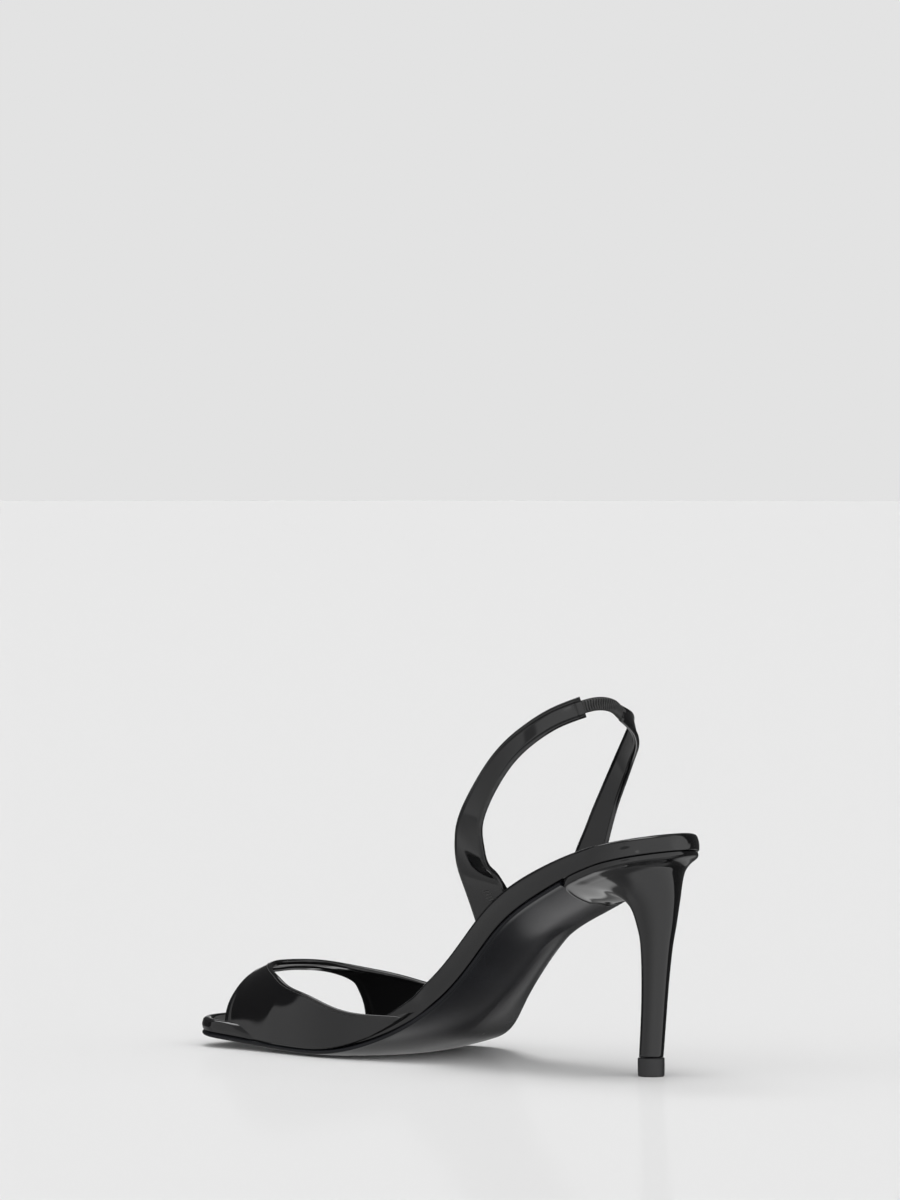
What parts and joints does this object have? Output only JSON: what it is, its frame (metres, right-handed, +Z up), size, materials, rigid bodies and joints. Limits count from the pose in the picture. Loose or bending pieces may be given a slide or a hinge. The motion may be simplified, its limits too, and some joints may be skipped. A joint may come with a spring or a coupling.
{
  "type": "slingback sandal",
  "caption": "High-heeled peep-toe slingback sandal in black patent, with a thin wrapped sole, a slim flared heel and a sling of two straps joined by a short elastic.",
  "frame": {"origin": "centre of the bounding box in plan, on the plane that the heel tip and the tread under the ball stand on", "axes": "-X toward the toe, +X toward the heel, +Y toward the little-toe side, +Z up from the floor"},
  "size_m": [0.2263, 0.0844, 0.1336],
  "materials": {
    "outsole": "satin lacquer",
    "insole": "patent gloss",
    "sock_lining": "matte",
    "heel": "patent gloss",
    "heel_tip": "matte",
    "vamp": "patent gloss",
    "strap_near": "patent gloss",
    "strap_far": "patent gloss",
    "elastic": "matte gathered webbing"
  },
  "bodies": {
    "root": {"outsole": "outsole", "insole": "insole", "sock_lining": "sock_lining", "heel": "heel", "heel_tip": "heel_tip", "vamp": "vamp", "strap_near": "strap_near", "strap_far": "strap_far", "elastic": "elastic"}
  },
  "joints": []
}
